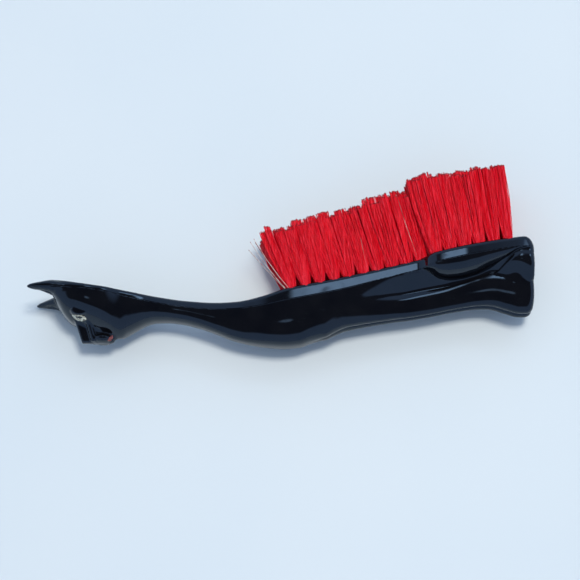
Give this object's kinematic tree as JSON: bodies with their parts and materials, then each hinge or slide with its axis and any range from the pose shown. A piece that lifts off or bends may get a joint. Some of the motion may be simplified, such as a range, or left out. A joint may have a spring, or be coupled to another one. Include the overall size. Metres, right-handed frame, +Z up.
{
  "type": "clothes brush",
  "caption": "Figural clothes brush: a long-necked seated cat in hollow glossy black plastic, lying on its side, with red bristle tufts set in its back and its head and neck as the handle.",
  "frame": {"origin": "bottom centre of the bounding box: the brush lies on its right side on z = 0", "axes": "+X towards the flat base that the cat stands on, +Y the way the bristles point, +Z up, out of the cat's left side"},
  "size_m": [0.24, 0.0869, 0.0329],
  "materials": {
    "body": "polished black moulded plastic",
    "bristle": "drawn red nylon filament",
    "anchor": "drawn flat wire",
    "eye": "pearly off-white, domed",
    "pupil": "gloss black",
    "mouth": "red enamel paint"
  },
  "bodies": {
    "root": {"back_plate": "body", "front_shell": "body", "left_eye": "eye", "left_pupil": "pupil", "right_eye": "eye", "right_pupil": "pupil", "tuft_row_01": "bristle", "tuft_row_02": "bristle", "tuft_row_03": "bristle", "tuft_row_04": "bristle", "tuft_row_05": "bristle", "tuft_row_06": "bristle", "tuft_row_07": "bristle", "tuft_row_08": "bristle", "tuft_row_09": "bristle", "tuft_row_10": "bristle", "tuft_row_11": "bristle", "tuft_row_12": "bristle", "tuft_row_13": "bristle", "tuft_row_14": "bristle", "tuft_row_15": "bristle", "tuft_row_16": "bristle", "anchor_row_01": "anchor", "anchor_row_02": "anchor", "anchor_row_03": "anchor", "anchor_row_04": "anchor", "anchor_row_05": "anchor", "anchor_row_06": "anchor", "anchor_row_07": "anchor", "anchor_row_08": "anchor", "anchor_row_09": "anchor", "anchor_row_10": "anchor", "anchor_row_11": "anchor", "anchor_row_12": "anchor", "anchor_row_13": "anchor", "anchor_row_14": "anchor", "anchor_row_15": "anchor", "anchor_row_16": "anchor"}
  },
  "joints": []
}
